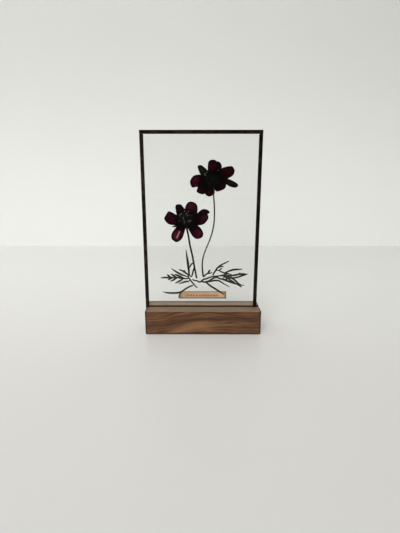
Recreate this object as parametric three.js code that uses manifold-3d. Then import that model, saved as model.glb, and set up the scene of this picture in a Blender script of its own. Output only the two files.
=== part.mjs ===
// Pressed flower frame: two sheets of glass with dark metal edging hold two pressed
// cosmos flowers, their leaves and a paper label, and stand in a grooved walnut base.
//
// Millimetres, +Z up. The origin is the middle of the base's underside. The panel faces -Y.
// Every pressed thing is drawn on the panel as (x, z): x from the panel's centre line,
// z from the drawing line, which lies a little above the panel's bottom edge.

import * as THREE from "three";
import { RoundedBoxGeometry } from "three/addons/geometries/RoundedBoxGeometry.js";
import { mergeVertices } from "three/addons/utils/BufferGeometryUtils.js";
import Module from "manifold-3d";

const wasm = await Module();
wasm.setup();

// Driving dimensions ---------------------------------------------------------------------

const BASE_WIDTH = 102.4;
const BASE_DEPTH = 28.5;
const BASE_HEIGHT = 22.2;
const BASE_ROUNDING = 1.1;
const BASE_ROUNDING_STEPS = 3;

const PANEL_WIDTH = 100.5;
const PANEL_HEIGHT = 160.2;
const PANEL_OFFSET_X = -1.75;

const GLASS_THICKNESS = 1.45;
const SPECIMEN_GAP = 0.9;
const EDGING_WALL = 0.4;
const EDGING_LIP = 2.75;
const EDGING_ROUNDING = 0.4;
const EDGING_SEAM = 0.15;

const GROOVE_DEPTH = 9.2;
const GROOVE_PLAY = 0.2;

// Height of the drawing line above the panel's bottom edge
const DRAWING_LINE = 8.5;

// The pressed things lie this far right of and below their drawing: [x, z]
const FLOWER_HEAD_SHIFT = [0.2, -0.2];
const STEM_AND_LEAF_SHIFT = [0.13, -0.1];

// Worked out from them -------------------------------------------------------------------

const GLASS_BACK_Y = SPECIMEN_GAP / 2;
const PANEL_THICKNESS = SPECIMEN_GAP + 2 * GLASS_THICKNESS + 2 * EDGING_WALL;
const GROOVE_WIDTH = PANEL_THICKNESS + 2 * GROOVE_PLAY;
const GROOVE_FLOOR = BASE_HEIGHT - GROOVE_DEPTH;

// Layers of the pressed things, front to back: [front y, back y] --------------------------

const DISC_LAYER = [-0.43, -0.15];
const FRONT_PETAL_LAYER = [-0.12, -0.04];
const MIDDLE_PETAL_LAYER = [-0.02, 0.06];
const BACK_PETAL_LAYER = [0.08, 0.16];
const STEM_LAYER = [0.18, 0.42];
const FRONT_LEAF_LAYER = [-0.3, -0.1];
const BACK_LEAF_LAYER = [-0.06, 0.12];
const LABEL_LAYER = [0.2, 0.42];

// Points along a smooth curve between two given ones
const STEPS_BETWEEN_PETAL_POINTS = 3;
const STEPS_BETWEEN_LEAF_POINTS = 2;
const DISC_SIDES = 16;

// Colours and finishes -------------------------------------------------------------------

function finish(color, roughness, metalness = 0) {
  return new THREE.MeshStandardMaterial({ color, roughness, metalness });
}

const walnut = () => finish("#6b4a35", 0.5);
const darkMetal = () => finish("#2f2520", 0.45, 0.8);
const labelPaper = () => finish("#b6926b", 0.9);
const petalVelvet = () => finish("#3a0a18", 0.8);
const discBrown = () => finish("#15110c", 0.9);
const stemGreen = () => finish("#3c3d2b", 0.8);
const leafGreen = () => finish("#3a3d2a", 0.85);

function clearGlass() {
  const glass = finish("#dfe8e2", 0.05);
  glass.transparent = true;
  glass.opacity = 0.3;
  return glass;
}

// Helpers --------------------------------------------------------------------------------

function named(name, geometry, material) {
  const mesh = new THREE.Mesh(geometry, material);
  mesh.name = name;
  return mesh;
}

function toSolid(geometry) {
  const bare = geometry.clone();
  bare.deleteAttribute("normal");
  bare.deleteAttribute("uv");
  const merged = mergeVertices(bare, 1e-4);
  const vertProperties = new Float32Array(merged.attributes.position.array);
  const triVerts = new Uint32Array(merged.index.array);
  return new wasm.Manifold(new wasm.Mesh({ numProp: 3, vertProperties, triVerts }));
}

function fromSolid(solid) {
  const mesh = solid.getMesh();
  const geometry = new THREE.BufferGeometry();
  geometry.setAttribute("position", new THREE.BufferAttribute(mesh.vertProperties, 3));
  geometry.setIndex(new THREE.BufferAttribute(mesh.triVerts, 1));
  geometry.computeVertexNormals();
  return geometry;
}

// A flat thing on the panel: an outline of (x, z) points, as thick as its layer
function flatPiece(outline, [frontY, backY]) {
  const shape = new THREE.Shape(outline);
  const geometry = new THREE.ExtrudeGeometry(shape, { depth: backY - frontY, bevelEnabled: false });
  geometry.rotateX(Math.PI / 2);
  geometry.translate(0, backY, 0);
  return geometry;
}

function smoothLine(points, stepsBetween) {
  const curve = new THREE.SplineCurve(points.map(([x, z]) => new THREE.Vector2(x, z)));
  return curve.getPoints((points.length - 1) * stepsBetween);
}

// Base -----------------------------------------------------------------------------------

// A rounded block with the groove cut through it from end to end
function walnutBase() {
  const block = new RoundedBoxGeometry(
    BASE_WIDTH, BASE_DEPTH, BASE_HEIGHT, BASE_ROUNDING_STEPS, BASE_ROUNDING);
  block.translate(0, 0, BASE_HEIGHT / 2);
  const cutter = new THREE.BoxGeometry(2 * BASE_WIDTH, GROOVE_WIDTH, 2 * GROOVE_DEPTH);
  cutter.translate(0, 0, BASE_HEIGHT);
  const grooved = toSolid(block).subtract(toSolid(cutter));
  return named("walnut_base", fromSolid(grooved), walnut());
}

// Glass and edging -----------------------------------------------------------------------

function glassSheet(name, side) {
  const width = PANEL_WIDTH - 2 * EDGING_WALL;
  const height = PANEL_HEIGHT - 2 * EDGING_WALL;
  const sheet = named(name, new THREE.BoxGeometry(width, GLASS_THICKNESS, height), clearGlass());
  sheet.position.y = side * (GLASS_BACK_Y + GLASS_THICKNESS / 2);
  sheet.position.z = PANEL_HEIGHT / 2;
  return sheet;
}

// Cross-section of the edging: a U over the glass, its back at the outer edge of the panel.
// u runs across the panel's thickness, v from the outer edge in over the glass.
function edgingSection() {
  const half = PANEL_THICKNESS / 2;
  const inner = half - EDGING_WALL;
  const r = EDGING_ROUNDING;
  const section = new THREE.Shape();
  section.moveTo(-inner, EDGING_LIP);
  section.lineTo(-half, EDGING_LIP);
  section.lineTo(-half, r);
  section.absarc(-half + r, r, r, Math.PI, 1.5 * Math.PI);
  section.absarc(half - r, r, r, 1.5 * Math.PI, 2 * Math.PI);
  section.lineTo(half, EDGING_LIP);
  section.lineTo(inner, EDGING_LIP);
  section.lineTo(inner, EDGING_WALL);
  section.lineTo(-inner, EDGING_WALL);
  return section;
}

// A strip that lies along +X when made, its lips pointing up
function edgingStrip(name, length) {
  const geometry = new THREE.ExtrudeGeometry(edgingSection(), {
    depth: length,
    bevelEnabled: false,
    curveSegments: 3,
  });
  geometry.rotateX(Math.PI / 2);
  geometry.rotateZ(Math.PI / 2);
  geometry.translate(-length / 2, 0, 0);
  return named(name, geometry, darkMetal());
}

function edging() {
  const group = new THREE.Group();
  const sideLength = PANEL_HEIGHT - 2 * EDGING_LIP - 2 * EDGING_SEAM;
  const middle = PANEL_HEIGHT / 2;

  const bottom = edgingStrip("edging_bottom", PANEL_WIDTH);
  const top = edgingStrip("edging_top", PANEL_WIDTH);
  top.position.z = PANEL_HEIGHT;
  top.rotation.y = Math.PI;
  const left = edgingStrip("edging_left", sideLength);
  left.position.set(-PANEL_WIDTH / 2, 0, middle);
  left.rotation.y = Math.PI / 2;
  const right = edgingStrip("edging_right", sideLength);
  right.position.set(PANEL_WIDTH / 2, 0, middle);
  right.rotation.y = -Math.PI / 2;

  group.add(bottom, top, left, right);
  return group;
}

// Paper label ----------------------------------------------------------------------------

function paperLabel() {
  const outline = [[-18.2, 14.6], [-20.7, 9], [-19.7, 7.5], [22.8, 7.4], [22.8, 14.6]];
  const corners = outline.map(([x, z]) => new THREE.Vector2(x, z));
  return named("paper_label", flatPiece(corners, LABEL_LAYER), labelPaper());
}

// Petals ---------------------------------------------------------------------------------

// Each petal is given by its two edges, from its narrow foot under the disc to the shared tip.
const UPPER_PETALS = {
  left: {
    layer: FRONT_PETAL_LAYER,
    upper: [[6.2, 114.4], [2, 116.4], [-0.8, 116.8], [-3.6, 116.8], [-6.4, 116], [-8.4, 113.9],
      [-9.6, 111.4]],
    lower: [[6.2, 111.2], [2, 108.6], [-2.4, 107.1], [-5, 106.9], [-7.3, 106.4], [-9, 108.3],
      [-9.6, 111.4]],
  },
  upper_left: {
    layer: MIDDLE_PETAL_LAYER,
    upper: [[6.6, 113.6], [2.2, 114.8], [-0.8, 117.1], [-1.8, 119.3], [-2.6, 121.7], [-3.1, 123.5],
      [-1.9, 124.6]],
    lower: [[8.3, 115.4], [7.4, 117.8], [5.4, 119.9], [3.8, 121.6], [1.9, 123.2], [0.1, 124.4],
      [-1.9, 124.6]],
  },
  top_left: {
    layer: FRONT_PETAL_LAYER,
    upper: [[8, 114.8], [5.9, 117.4], [5.3, 120.5], [5.4, 123.6], [5.7, 126.4], [6.9, 128.3],
      [9.4, 129]],
    lower: [[10, 115], [12, 117.6], [13.2, 120.4], [13.5, 124], [13, 126.8], [11.7, 128.4], [9.4, 129]],
  },
  top_right: {
    layer: MIDDLE_PETAL_LAYER,
    upper: [[9.3, 115], [9.6, 118], [10.3, 121.4], [11.6, 125], [12.8, 127.3], [14.2, 127.4],
      [15.6, 126.5]],
    lower: [[10.9, 114.3], [13.8, 117.4], [15.7, 120.2], [16.8, 122.4], [16.9, 123.9], [16.4, 125.5],
      [15.6, 126.5]],
  },
  upper_right: {
    layer: FRONT_PETAL_LAYER,
    upper: [[11, 114.8], [13.2, 118.4], [16, 121.5], [19.4, 122.9], [23, 123.6], [26, 123.4],
      [27.8, 120.4]],
    lower: [[11.7, 112.6], [16.4, 112.4], [20.8, 113.1], [23.5, 114.6], [25.7, 115.8], [27.2, 117.6],
      [27.8, 120.4]],
  },
  right: {
    layer: MIDDLE_PETAL_LAYER,
    upper: [[11.6, 112.8], [16.4, 113.9], [22, 113.5], [24.8, 112.5], [27.5, 111.2], [29.9, 109.8],
      [31.1, 108.2]],
    lower: [[11.3, 111], [16.4, 110.6], [20.4, 109.4], [23.1, 107.8], [26.2, 106.6], [29.4, 106.5],
      [31.1, 108.2]],
  },
  lower_right: {
    layer: FRONT_PETAL_LAYER,
    upper: [[11.6, 111.6], [15.6, 111.2], [18.9, 111.1], [20.6, 109.8], [20.8, 108.2], [20.3, 106.3],
      [19.1, 105]],
    lower: [[10.4, 110.1], [10.2, 107], [11.7, 104.3], [13.1, 103.1], [15, 103.4], [17.2, 104.1],
      [19.1, 105]],
  },
  bottom: {
    layer: BACK_PETAL_LAYER,
    upper: [[7.7, 110], [4.8, 107], [3.4, 103.8], [3.2, 101.4], [4.3, 99.9], [5.6, 99.2], [6.9, 98.9]],
    lower: [[9.5, 110], [9.9, 106.6], [10.3, 103.6], [10, 101.3], [9.2, 99.9], [8.2, 99.2],
      [6.9, 98.9]],
  },
  lower_left: {
    layer: MIDDLE_PETAL_LAYER,
    upper: [[6.6, 111.4], [1, 110.4], [-2.6, 108], [-3.2, 105.8], [-3.9, 104], [-3.8, 102.7],
      [-2.1, 101.6]],
    lower: [[7.9, 110], [6.2, 106.4], [4.6, 103.2], [3.2, 101.7], [1.6, 100.9], [-0.2, 100.9],
      [-2.1, 101.6]],
  },
};

const LOWER_PETALS = {
  left: {
    layer: FRONT_PETAL_LAYER,
    upper: [[-15, 82.2], [-19.4, 83], [-22.4, 84], [-25.6, 85.9], [-28.3, 86.4], [-30, 84.1],
      [-32.1, 80.7]],
    lower: [[-15, 76.4], [-18.6, 74.9], [-22.4, 74.7], [-26, 75], [-28.7, 75.9], [-30.9, 78.1],
      [-32.1, 80.7]],
  },
  upper_left: {
    layer: MIDDLE_PETAL_LAYER,
    upper: [[-15.6, 80.4], [-19.6, 81.8], [-21.3, 84.4], [-21.8, 87.6], [-22.1, 90], [-21.3, 92.1],
      [-18.9, 92.6]],
    lower: [[-12.9, 82.2], [-12.5, 85.6], [-13.9, 88.2], [-14.9, 89.4], [-16.1, 90.8], [-17.1, 92.1],
      [-18.9, 92.6]],
  },
  top: {
    layer: FRONT_PETAL_LAYER,
    upper: [[-13.6, 82.1], [-14.6, 85.4], [-14.1, 88.2], [-13.3, 91], [-12.2, 93], [-10.6, 94.4],
      [-8.4, 94.8]],
    lower: [[-9.4, 80.8], [-4.6, 82.8], [-3.4, 86.4], [-3.2, 89.4], [-3.7, 91.7], [-5.4, 93.8],
      [-8.4, 94.8]],
  },
  upper_right: {
    layer: MIDDLE_PETAL_LAYER,
    upper: [[-11.1, 81.1], [-6.4, 83.2], [-3, 85.3], [-1.2, 86.9], [0.8, 88.1], [3.2, 88.3],
      [5.7, 87.5], [7.3, 85.8]],
    lower: [[-10.6, 79.8], [-5.6, 80.6], [-1.6, 81.4], [1, 82.4], [3.4, 83.7], [5.1, 84.3], [6.4, 84.7],
      [7.3, 85.8]],
  },
  right: {
    layer: BACK_PETAL_LAYER,
    upper: [[-10.8, 80.4], [-4.6, 83.6], [0, 85], [3, 85], [5, 84.2], [6, 82.6], [6.1, 80.4]],
    lower: [[-10.8, 76.8], [-6.6, 74.9], [-3.4, 74.6], [-0.4, 74.8], [2.3, 75.7], [4.5, 77.9],
      [6.1, 80.4]],
  },
  lower_right: {
    layer: FRONT_PETAL_LAYER,
    upper: [[-10, 79], [-5.4, 76.2], [-2, 73.5], [-0.3, 71.7], [1, 69.4], [1.7, 67], [0.7, 64.1],
      [-2.6, 62.6]],
    lower: [[-12.6, 77], [-11.9, 73.2], [-10.6, 70.2], [-9.2, 67.7], [-7.8, 65.4], [-5.8, 63.5],
      [-4.1, 62.7], [-2.6, 62.6]],
  },
  lower_left: {
    layer: MIDDLE_PETAL_LAYER,
    upper: [[-16.6, 77.8], [-20.2, 74.8], [-22.2, 72.2], [-24.2, 69.8], [-25.6, 67.4], [-26.1, 64.8],
      [-25.4, 62], [-22.2, 59.7]],
    lower: [[-13.4, 77], [-13.4, 73.2], [-14.1, 70.4], [-15, 67.7], [-15.9, 64.9], [-17.3, 62.4],
      [-19.6, 60.5], [-22.2, 59.7]],
  },
};

function petalOutline({ upper, lower }) {
  const there = smoothLine(upper, STEPS_BETWEEN_PETAL_POINTS);
  const back = smoothLine(lower, STEPS_BETWEEN_PETAL_POINTS).reverse();
  return [...there, ...back.slice(1)];
}

function petals(prefix, table) {
  const group = new THREE.Group();
  for (const [place, petal] of Object.entries(table)) {
    const geometry = flatPiece(petalOutline(petal), petal.layer);
    group.add(named(`${prefix}_petal_${place}`, geometry, petalVelvet()));
  }
  return group;
}

// Discs of florets -----------------------------------------------------------------------

// A low dome pressed flat. Its profile is given as [share of the radius, height].
function floretDisc(name, centre, radiusX, radiusZ) {
  const [frontY, backY] = DISC_LAYER;
  const rise = backY - frontY;
  const profile = [[0, 0], [1, 0], [1, 0.45 * rise], [0.8, 0.8 * rise], [0.45, rise], [0, rise]];
  const points = profile.map(([radius, height]) => new THREE.Vector2(radius, height));
  const geometry = new THREE.LatheGeometry(points, DISC_SIDES);
  geometry.rotateX(Math.PI);
  geometry.scale(radiusX, 1, radiusZ);
  geometry.translate(centre[0], backY, centre[1]);
  return named(name, geometry, discBrown());
}

// Stems, stalks and leaves ---------------------------------------------------------------

// One flat blade along a centre line. Its half width swells from the start to the belly
// (a share of the length) and narrows to the tip.
function blade({ line, startWidth, fullWidth, tipWidth, belly = 0.5 }) {
  const centre = smoothLine(line, STEPS_BETWEEN_LEAF_POINTS);
  const last = centre.length - 1;
  const leftSide = [];
  const rightSide = [];
  centre.forEach((point, index) => {
    const before = centre[Math.max(index - 1, 0)];
    const after = centre[Math.min(index + 1, last)];
    const along = new THREE.Vector2().subVectors(after, before).normalize();
    const across = new THREE.Vector2(-along.y, along.x);
    const share = index / last;
    const swell = share < belly
      ? Math.sin((share / belly) * Math.PI / 2)
      : Math.cos(((share - belly) / (1 - belly)) * Math.PI / 2);
    const endWidth = share < belly ? startWidth : tipWidth;
    const halfWidth = (endWidth + (fullWidth - endWidth) * swell) / 2;
    leftSide.push(point.clone().addScaledVector(across, halfWidth));
    rightSide.unshift(point.clone().addScaledVector(across, -halfWidth));
  });
  return [...leftSide, ...rightSide];
}

const STEM = { startWidth: 1.7, fullWidth: 1.6, tipWidth: 1.5 };
const STALK = { startWidth: 1.25, fullWidth: 1.45, tipWidth: 0.75 };
const LEAFLET = { startWidth: 0.75, fullWidth: 1.8, tipWidth: 0.65, belly: 0.6 };
const WIDE_LEAFLET = { startWidth: 1.1, fullWidth: 2.2, tipWidth: 0.6 };
const THIN_LEAFLET = { startWidth: 0.85, fullWidth: 1.35, tipWidth: 0.5 };

// Blades that grew together, joined in one solid
function grownPiece(name, layer, blades, material) {
  const solids = blades.map((shape) => toSolid(flatPiece(blade(shape), layer)));
  const joined = solids.reduce((whole, part) => whole.add(part));
  return named(name, fromSolid(joined), material);
}

function upperStem() {
  return grownPiece("upper_stem", STEM_LAYER, [
    {
      startWidth: 1.25,
      fullWidth: 1.2,
      tipWidth: 1.7,
      belly: 0.6,
      line: [[9.6, 108], [10.3, 103.4], [10.6, 98], [11.2, 91], [11.35, 83], [11, 76], [9.95, 70],
        [8.4, 64.4], [6.4, 59], [4.4, 54], [2.6, 49.2], [1.4, 44.6], [0.9, 40], [1.1, 35], [1.45, 31.2],
        [2.1, 28]],
    },
    {
      startWidth: 3.4,
      fullWidth: 2.4,
      tipWidth: 1.3,
      line: [[9, 110], [9.9, 106.4], [10.4, 103.2], [10.6, 101]],
    },
  ], stemGreen());
}

function lowerStem() {
  return grownPiece("lower_stem", STEM_LAYER, [
    {
      ...STEM,
      line: [[-12.9, 77.5], [-12.6, 73], [-12, 69.4], [-11.2, 65.4], [-10.5, 61], [-9.9, 57],
        [-9.1, 53.4], [-8.3, 49.8], [-7.5, 46], [-6.9, 42.4], [-6.3, 39], [-5.9, 36.4], [-5.2, 33.4],
        [-4.7, 30.2], [-4, 26.8]],
    },
    {
      startWidth: 3.4,
      fullWidth: 2.6,
      tipWidth: 1.4,
      line: [[-13.2, 78], [-12.9, 75], [-12.5, 72.6], [-12.2, 70.6]],
    },
    { ...STALK, line: [[-6, 37], [-6.8, 34.6], [-7.5, 32], [-8, 30], [-8.6, 28]] },
    { ...THIN_LEAFLET, line: [[-6.7, 40.8], [-8.4, 40.2], [-9.3, 38.8], [-10.2, 36.6]] },
  ], stemGreen());
}

function lowerSepal() {
  return grownPiece("lower_sepal", STEM_LAYER, [
    {
      startWidth: 1.9,
      fullWidth: 2,
      tipWidth: 0.4,
      line: [[-17, 75.6], [-20, 74.5], [-22.6, 73.6], [-25.2, 73]],
    },
  ], stemGreen());
}

function leftBladeLeaf() {
  return grownPiece("left_blade_leaf", FRONT_LEAF_LAYER, [
    {
      ...WIDE_LEAFLET,
      belly: 0.4,
      line: [[-10.6, 29.8], [-11, 33.6], [-11.3, 37.2], [-11.8, 41], [-12.3, 45], [-12.9, 49],
        [-13.3, 53.4]],
    },
  ], leafGreen());
}

function leftFeatheredLeaf() {
  return grownPiece("left_feathered_leaf", BACK_LEAF_LAYER, [
    {
      ...STALK,
      fullWidth: 1.6,
      tipWidth: 0.4,
      belly: 0.85,
      line: [[-11.4, 27], [-14, 26.5], [-17, 27], [-20, 27.5], [-24, 27.6], [-28, 27.5],
        [-32.5, 27.6], [-36.4, 27.3]],
    },
    {
      ...STALK,
      line: [[-11.8, 30.6], [-11.5, 28], [-10, 25.8], [-8.6, 23.8], [-7, 21.6], [-5, 19.4], [-3.4, 17.8]],
    },
    { ...LEAFLET, line: [[-27.2, 27.7], [-28.8, 28.9], [-30.5, 30.5]] },
    { ...LEAFLET, line: [[-22.2, 27.8], [-24.3, 29.2], [-27.3, 31]] },
    { ...LEAFLET, line: [[-15.2, 26.8], [-18, 28.3], [-21, 29.5], [-23.9, 30.6]] },
    { ...LEAFLET, line: [[-11.6, 28.2], [-15, 29.3], [-19, 31], [-22.6, 33.1], [-26.6, 35.9]] },
    { ...LEAFLET, line: [[-8.6, 28.2], [-11, 29.9], [-14, 32], [-16.6, 33.8], [-20, 35]] },
    { ...THIN_LEAFLET, line: [[-13.8, 32], [-14.6, 33.2], [-15.2, 34.6]] },
    { ...LEAFLET, line: [[-25.6, 27.4], [-27.6, 26.6], [-30, 25.4]] },
    { ...LEAFLET, line: [[-20.8, 27.6], [-22.6, 26.9], [-24.8, 25.4], [-27.8, 24]] },
    { ...LEAFLET, line: [[-15.8, 27.1], [-17.4, 25.4], [-20, 24], [-23.4, 22.2]] },
    { ...LEAFLET, line: [[-9.9, 25], [-11.6, 24], [-14.6, 23.7], [-16.6, 22.9], [-20.2, 21.9]] },
    { ...THIN_LEAFLET, line: [[-15.8, 27.2], [-17.6, 26.8], [-20, 26.7]] },
  ], leafGreen());
}

function leftLowerStalk() {
  return grownPiece("left_lower_stalk", FRONT_LEAF_LAYER, [
    {
      ...STALK,
      fullWidth: 1.9,
      tipWidth: 0.3,
      belly: 0.75,
      line: [[-7.2, 20.3], [-10, 19.4], [-13.4, 17.5], [-16.4, 15.4], [-18.8, 13.9],
        [-22, 13.2], [-27, 13.1], [-31, 13.4], [-35, 14.3]],
    },
    { ...THIN_LEAFLET, fullWidth: 1, line: [[-18, 14.4], [-19.3, 12.4], [-20.1, 10.2], [-20.5, 8.4]] },
  ], leafGreen());
}

function rightFeatheredLeaf() {
  return grownPiece("right_feathered_leaf", BACK_LEAF_LAYER, [
    {
      ...STALK,
      startWidth: 1,
      fullWidth: 1.6,
      line: [[-8, 26.1], [-6.4, 25], [-3.8, 24.6], [-1.8, 23.4], [0.2, 24.2], [2, 25.8],
        [5, 26.6], [8, 27.9], [11, 28.6], [15, 29], [18, 29.7], [21.4, 30.7]],
    },
    {
      ...WIDE_LEAFLET,
      fullWidth: 1.7,
      line: [[4.6, 24], [7.2, 24.5], [10, 26.5], [13, 27.6], [16.4, 28.9]],
    },
    {
      ...WIDE_LEAFLET,
      fullWidth: 1.7,
      line: [[-0.4, 23.8], [3, 23.6], [8, 24], [12, 24.8], [16, 24.6], [20, 22], [25.6, 18.9]],
    },
    {
      ...WIDE_LEAFLET,
      fullWidth: 1.9,
      line: [[12.6, 28.4], [16.8, 26.6], [21, 25.5], [25, 23.9], [29.2, 22.5], [33.4, 21.2], [39, 20.2]],
    },
    { ...LEAFLET, line: [[31, 22], [34, 20.6], [36.6, 18.5]] },
    {
      ...WIDE_LEAFLET,
      fullWidth: 1.85,
      line: [[19.4, 28.8], [24, 28], [28, 26.8], [31, 24.4], [34, 21.6], [37.4, 20.2]],
    },
    { ...LEAFLET, line: [[22.4, 27.4], [26, 25.4], [29, 23.2], [32, 21.4]] },
    {
      ...WIDE_LEAFLET,
      fullWidth: 1.9,
      belly: 0.8,
      line: [[16, 29.2], [22, 29.3], [27, 29.4], [31, 30], [35, 30.9], [41.8, 30.7]],
    },
    {
      ...WIDE_LEAFLET,
      fullWidth: 1.7,
      belly: 0.75,
      line: [[24, 27.6], [29, 27.3], [33, 28], [36.4, 29.3], [40.6, 30.4]],
    },
    { ...THIN_LEAFLET, fullWidth: 1, line: [[20.4, 30.2], [22, 27.8], [23.6, 24.6]] },
    { ...THIN_LEAFLET, fullWidth: 1, line: [[18.4, 26], [21, 28], [24, 29.6], [27.6, 30.6]] },
    { ...THIN_LEAFLET, fullWidth: 1, line: [[23.4, 29.8], [25.4, 27.4], [26.6, 23.6]] },
    { ...THIN_LEAFLET, fullWidth: 1, line: [[20.6, 25.6], [23.6, 26.6], [27.4, 28.8]] },
    { ...THIN_LEAFLET, line: [[33, 30.3], [34.2, 31.2], [34.5, 32.4]] },
    { ...THIN_LEAFLET, line: [[20, 30.4], [22.6, 30.8], [25.8, 31.2]] },
  ], leafGreen());
}

function rightForkedLeaf() {
  return grownPiece("right_forked_leaf", FRONT_LEAF_LAYER, [
    {
      ...STALK,
      fullWidth: 1.6,
      tipWidth: 0.9,
      line: [[10.4, 29.6], [11.4, 32], [13, 34.2], [14.4, 36.6], [17, 38.8], [20.5, 40.7], [24.6, 42.8]],
    },
    { ...THIN_LEAFLET, line: [[14.4, 36.6], [17, 37.7], [20.2, 37.8]] },
    { ...THIN_LEAFLET, line: [[15.8, 34.5], [17, 35.2], [18.8, 36.6]] },
    {
      ...LEAFLET,
      fullWidth: 1.4,
      line: [[12.9, 34.2], [15.6, 34.3], [18, 32.9], [20.6, 32], [23.4, 31.5], [26.2, 31]],
    },
    {
      ...LEAFLET,
      line: [[19.8, 31.6], [22.6, 32.7], [25.4, 33.9], [28.6, 34.9], [32.6, 35.2], [36.8, 35.4]],
    },
  ], leafGreen());
}

function smallSprig() {
  return grownPiece("small_sprig", FRONT_LEAF_LAYER, [
    { ...STALK, line: [[2.3, 28], [3.6, 30], [5.4, 31.3], [7.6, 31.6], [9.8, 32.5]] },
    { ...LEAFLET, line: [[5.8, 31.3], [6.8, 33], [8, 34.9]] },
  ], leafGreen());
}

function rightLowerStalk() {
  return grownPiece("right_lower_stalk", FRONT_LEAF_LAYER, [
    {
      ...STALK,
      fullWidth: 1.8,
      tipWidth: 1,
      belly: 0.6,
      line: [[1, 23.5], [3.6, 23.4], [5.6, 22.2], [8, 20.1], [11, 18.2], [14, 16.2],
        [17.4, 14.2], [20.8, 11.9]],
    },
  ], leafGreen());
}

// Assembly -------------------------------------------------------------------------------

function flowerHeads() {
  const group = new THREE.Group();
  group.add(
    petals("upper", UPPER_PETALS),
    floretDisc("upper_disc", [9.4, 112.2], 6.4, 4.9),
    petals("lower", LOWER_PETALS),
    floretDisc("lower_disc", [-13.8, 80.4], 6.8, 5.1),
  );
  group.position.set(FLOWER_HEAD_SHIFT[0], 0, FLOWER_HEAD_SHIFT[1]);
  return group;
}

function stemsAndLeaves() {
  const group = new THREE.Group();
  group.add(
    upperStem(),
    lowerStem(),
    lowerSepal(),
    leftBladeLeaf(),
    leftFeatheredLeaf(),
    leftLowerStalk(),
    rightFeatheredLeaf(),
    rightForkedLeaf(),
    smallSprig(),
    rightLowerStalk(),
  );
  group.position.set(STEM_AND_LEAF_SHIFT[0], 0, STEM_AND_LEAF_SHIFT[1]);
  return group;
}

function pressedThings() {
  const group = new THREE.Group();
  group.add(paperLabel(), flowerHeads(), stemsAndLeaves());
  group.position.z = DRAWING_LINE;
  return group;
}

function panel() {
  const group = new THREE.Group();
  group.add(glassSheet("glass_front", -1), glassSheet("glass_back", 1), edging());
  group.add(pressedThings());
  group.position.set(PANEL_OFFSET_X, 0, GROOVE_FLOOR);
  return group;
}

const frame = new THREE.Group();
frame.add(walnutBase(), panel());

export default frame;
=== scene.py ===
import math
from functools import partial, reduce
from random import Random

import bmesh
import bpy
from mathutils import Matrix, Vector, geometry


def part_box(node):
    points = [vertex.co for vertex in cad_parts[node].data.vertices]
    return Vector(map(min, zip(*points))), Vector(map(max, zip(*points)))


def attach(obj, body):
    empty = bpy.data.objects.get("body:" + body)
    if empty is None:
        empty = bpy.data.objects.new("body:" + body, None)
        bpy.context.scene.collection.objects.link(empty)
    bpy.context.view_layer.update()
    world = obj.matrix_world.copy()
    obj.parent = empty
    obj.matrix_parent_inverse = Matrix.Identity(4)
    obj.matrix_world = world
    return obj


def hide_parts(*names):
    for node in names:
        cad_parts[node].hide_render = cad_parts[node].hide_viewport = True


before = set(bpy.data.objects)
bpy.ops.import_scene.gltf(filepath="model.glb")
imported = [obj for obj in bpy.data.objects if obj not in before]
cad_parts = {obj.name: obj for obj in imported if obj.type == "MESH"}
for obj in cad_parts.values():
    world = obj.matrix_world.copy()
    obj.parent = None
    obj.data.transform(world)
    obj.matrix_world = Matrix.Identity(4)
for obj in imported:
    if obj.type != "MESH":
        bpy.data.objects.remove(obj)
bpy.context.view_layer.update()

MM = 0.001

# Where the frame's pieces are ----

BASE_LOW, BASE_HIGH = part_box("walnut_base")
TOP_STRIP_LOW, TOP_STRIP_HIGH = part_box("edging_top")
BOTTOM_STRIP_LOW, BOTTOM_STRIP_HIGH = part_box("edging_bottom")

# The pressed things are drawn on the panel in millimetres as (x, z): x from the panel's
# centre line, z from a drawing line a little above the panel's bottom edge.
GROOVE_FLOOR = BOTTOM_STRIP_LOW.z
PANEL_X = (TOP_STRIP_LOW.x + TOP_STRIP_HIGH.x) / 2
PANEL_Z = GROOVE_FLOOR + 8.5 * MM
PANEL_THICKNESS = TOP_STRIP_HIGH.y - TOP_STRIP_LOW.y
GROOVE_WIDTH = PANEL_THICKNESS + 0.4 * MM
BASE_ROUNDING = 1.1 * MM
GROOVE_ROUNDING = 0.35 * MM
EDGING_WALL = 0.4 * MM
EDGING_ROUNDING = 0.36 * MM
EDGING_CUTS = 60

FLOWER_HEAD_SHIFT = (0.2, -0.2)
STEM_AND_LEAF_SHIFT = (0.13, -0.1)


# Material helpers ----

class Field:
    """What a material works out at each point of a piece: a value, colour or place."""

    def __init__(self, socket):
        self.socket = socket
        self.tree = socket.id_data

    def __add__(self, other):
        return worked_out("ADD", self, other)

    def __sub__(self, other):
        return worked_out("SUBTRACT", self, other)

    def __mul__(self, other):
        return worked_out("MULTIPLY", self, other)

    def __truediv__(self, other):
        return worked_out("DIVIDE", self, other)

    def __abs__(self):
        return worked_out("ABSOLUTE", self)

    def step(self, low, high, out_low=0.0, out_high=1.0):
        """Runs softly from out_low to out_high while this field goes from low to high."""
        made = node(self.tree, "ShaderNodeMapRange", interpolation_type="SMOOTHSTEP")
        set_inputs(made, Value=self, From_Min=low, From_Max=high, To_Min=out_low, To_Max=out_high)
        return Field(made.outputs["Result"])

    def ramp(self, *stops):
        """A colour by this field's value: each stop is (value, colour)."""
        made = node(self.tree, "ShaderNodeValToRGB")
        elements = made.color_ramp.elements
        while len(elements) < len(stops):
            elements.new(0.5)
        for element, (place, colour) in zip(elements, stops):
            element.position = place
            element.color = (*colour, 1)
        feed(made.inputs["Fac"], self)
        return Field(made.outputs["Color"])


def node(tree, kind, **settings):
    made = tree.nodes.new(kind)
    for key, value in settings.items():
        setattr(made, key, value)
    return made


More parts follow.
